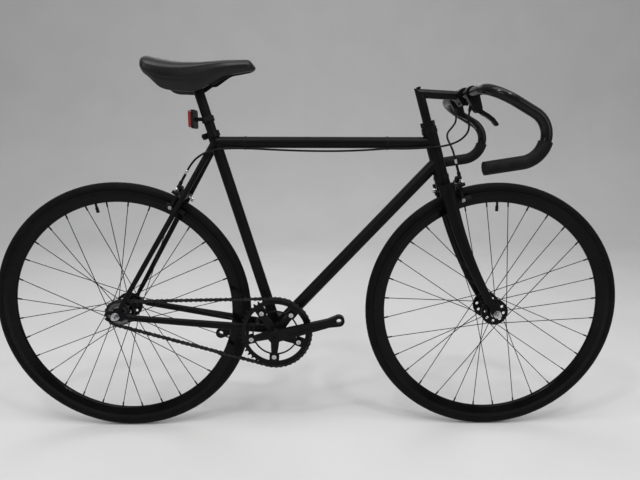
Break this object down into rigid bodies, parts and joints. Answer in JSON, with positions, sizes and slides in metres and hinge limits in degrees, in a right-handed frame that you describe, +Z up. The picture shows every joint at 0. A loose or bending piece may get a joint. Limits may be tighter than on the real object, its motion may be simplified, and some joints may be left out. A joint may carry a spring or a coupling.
{
  "type": "fixed gear bicycle",
  "caption": "Black steel fixed gear bicycle with drop handlebar, deep rims, caliper brakes, single-speed chain drive, padded saddle and red rear reflector.",
  "frame": {"origin": "on the ground, midway between the two tyre contacts", "axes": "+X forward, +Y to the rider's left, +Z up"},
  "size_m": [1.6547, 0.43, 0.9815],
  "materials": {
    "frame_black": "matte",
    "alloy_black": "satin anodised",
    "spoke_black": "satin",
    "steel_bright": "plated",
    "chain_dark": "oiled",
    "rail_black": "satin",
    "tyre_black": "matte",
    "rubber_black": "matte",
    "housing_black": "satin",
    "cover_black": "matte grained",
    "bracket_black": "matte",
    "reflector_red": "clear prismatic"
  },
  "bodies": {
    "frame": {"head_tube": "frame_black", "top_tube": "frame_black", "down_tube": "frame_black", "seat_tube": "frame_black", "bottom_bracket_shell": "frame_black", "chain_stays": "frame_black", "seat_stays": "frame_black", "rear_dropouts": "frame_black", "seat_clamp": "alloy_black", "cable_clips": "housing_black", "bottom_bracket_cartridge": "steel_bright", "headset_cups": "alloy_black", "rear_axle": "steel_bright", "rear_axle_nuts": "steel_bright", "chain": "chain_dark", "rear_brake_bolt": "steel_bright", "rear_brake_cable": "housing_black", "rear_brake_cable_front": "housing_black"},
    "fork": {"fork_crown": "frame_black", "fork_blades": "frame_black", "headset_races": "alloy_black", "stem": "alloy_black", "stem_bolts": "steel_bright", "handlebar": "alloy_black", "handlebar_grips": "rubber_black", "lever_brackets": "alloy_black", "front_axle": "steel_bright", "front_axle_nuts": "steel_bright", "front_brake_bolt": "steel_bright", "front_brake_cable": "housing_black"},
    "front_wheel": {"front_tyre": "tyre_black", "front_inner_tube": "rubber_black", "front_rim": "alloy_black", "front_spokes": "spoke_black", "front_hub": "alloy_black", "front_bearings": "steel_bright"},
    "rear_wheel": {"rear_tyre": "tyre_black", "rear_inner_tube": "rubber_black", "rear_rim": "alloy_black", "rear_spokes": "spoke_black", "rear_hub": "alloy_black", "rear_bearings": "steel_bright", "rear_cog": "steel_bright"},
    "crankset": {"crank_arm_right": "alloy_black", "crank_arm_left": "alloy_black", "chainring": "alloy_black", "crank_fasteners": "steel_bright", "crank_spindle": "steel_bright"},
    "lever_right": {"brake_lever_right": "alloy_black"},
    "lever_left": {"brake_lever_left": "alloy_black"},
    "front_arm_right": {"front_brake_arm_right": "alloy_black"},
    "front_arm_left": {"front_brake_arm_left": "alloy_black"},
    "rear_arm_right": {"rear_brake_arm_right": "alloy_black"},
    "rear_arm_left": {"rear_brake_arm_left": "alloy_black"},
    "seat": {"seatpost": "alloy_black", "saddle": "cover_black", "saddle_rails": "rail_black", "saddle_clamp": "alloy_black", "reflector_bracket": "bracket_black"},
    "reflector": {"reflector": "reflector_red"}
  },
  "joints": [
    {"name": "steering", "type": "hinge", "parent": "frame", "child": "fork", "pos_m": [0.3235, 0, 0.74608], "axis": [-0.2924, 0, 0.9563], "range_deg": [-70, 70], "deforming": ["rear_brake_cable_front"]},
    {"name": "front_wheel_spin", "type": "hinge", "parent": "fork", "child": "front_wheel", "pos_m": [0.4904, 0, 0.337], "axis": [0, 1, 0], "continuous": true},
    {"name": "rear_wheel_spin", "type": "hinge", "parent": "frame", "child": "rear_wheel", "pos_m": [-0.4904, 0, 0.337], "axis": [0, 1, 0], "continuous": true, "deforming": ["chain"]},
    {"name": "crank_spin", "type": "hinge", "parent": "frame", "child": "crankset", "pos_m": [-0.08563, 0, 0.284], "axis": [0, 1, 0], "continuous": true, "deforming": ["chain"]},
    {"name": "right_lever_pull", "type": "hinge", "parent": "fork", "child": "lever_right", "pos_m": [0.401, -0.07, 0.852], "axis": [0, 1, 0], "range_deg": [0, 22], "stiffness_Nm_per_rad": 0.3, "springref_deg": -20.05},
    {"name": "left_lever_pull", "type": "hinge", "parent": "fork", "child": "lever_left", "pos_m": [0.401, 0.07, 0.852], "axis": [0, 1, 0], "range_deg": [0, 22], "stiffness_Nm_per_rad": 0.3, "springref_deg": -20.05},
    {"name": "front_arm_right_close", "type": "hinge", "parent": "fork", "child": "front_arm_right", "pos_m": [0.34953, 0, 0.66097], "axis": [0.9563, 0, 0.2924], "range_deg": [0, 2.65]},
    {"name": "front_arm_left_close", "type": "hinge", "parent": "fork", "child": "front_arm_left", "pos_m": [0.34953, 0, 0.66097], "axis": [-0.9563, 0, -0.2924], "range_deg": [0, 2.65]},
    {"name": "rear_arm_right_close", "type": "hinge", "parent": "frame", "child": "rear_arm_right", "pos_m": [-0.31207, 0, 0.63933], "axis": [0.8613, 0, -0.5081], "range_deg": [0, 2.65]},
    {"name": "rear_arm_left_close", "type": "hinge", "parent": "frame", "child": "rear_arm_left", "pos_m": [-0.31207, 0, 0.63933], "axis": [-0.8613, 0, 0.5081], "range_deg": [0, 2.65]},
    {"name": "seat_height", "type": "slide", "parent": "frame", "child": "seat", "axis": [-0.2874, 0, 0.9578], "range_m": [-0.018, 0.07]},
    {"name": "reflector_tilt", "type": "hinge", "parent": "seat", "child": "reflector", "pos_m": [-0.27343, 0, 0.83], "axis": [0, 1, 0], "range_deg": [-15, 15]}
  ],
  "couplings": [
    {"joint": "crank_spin", "follows": "rear_wheel_spin", "ratio": 0.34783},
    {"joint": "rear_arm_right_close", "follows": "right_lever_pull", "ratio": 0.11818},
    {"joint": "rear_arm_left_close", "follows": "right_lever_pull", "ratio": 0.11818},
    {"joint": "front_arm_right_close", "follows": "left_lever_pull", "ratio": 0.11818},
    {"joint": "front_arm_left_close", "follows": "left_lever_pull", "ratio": 0.11818}
  ]
}
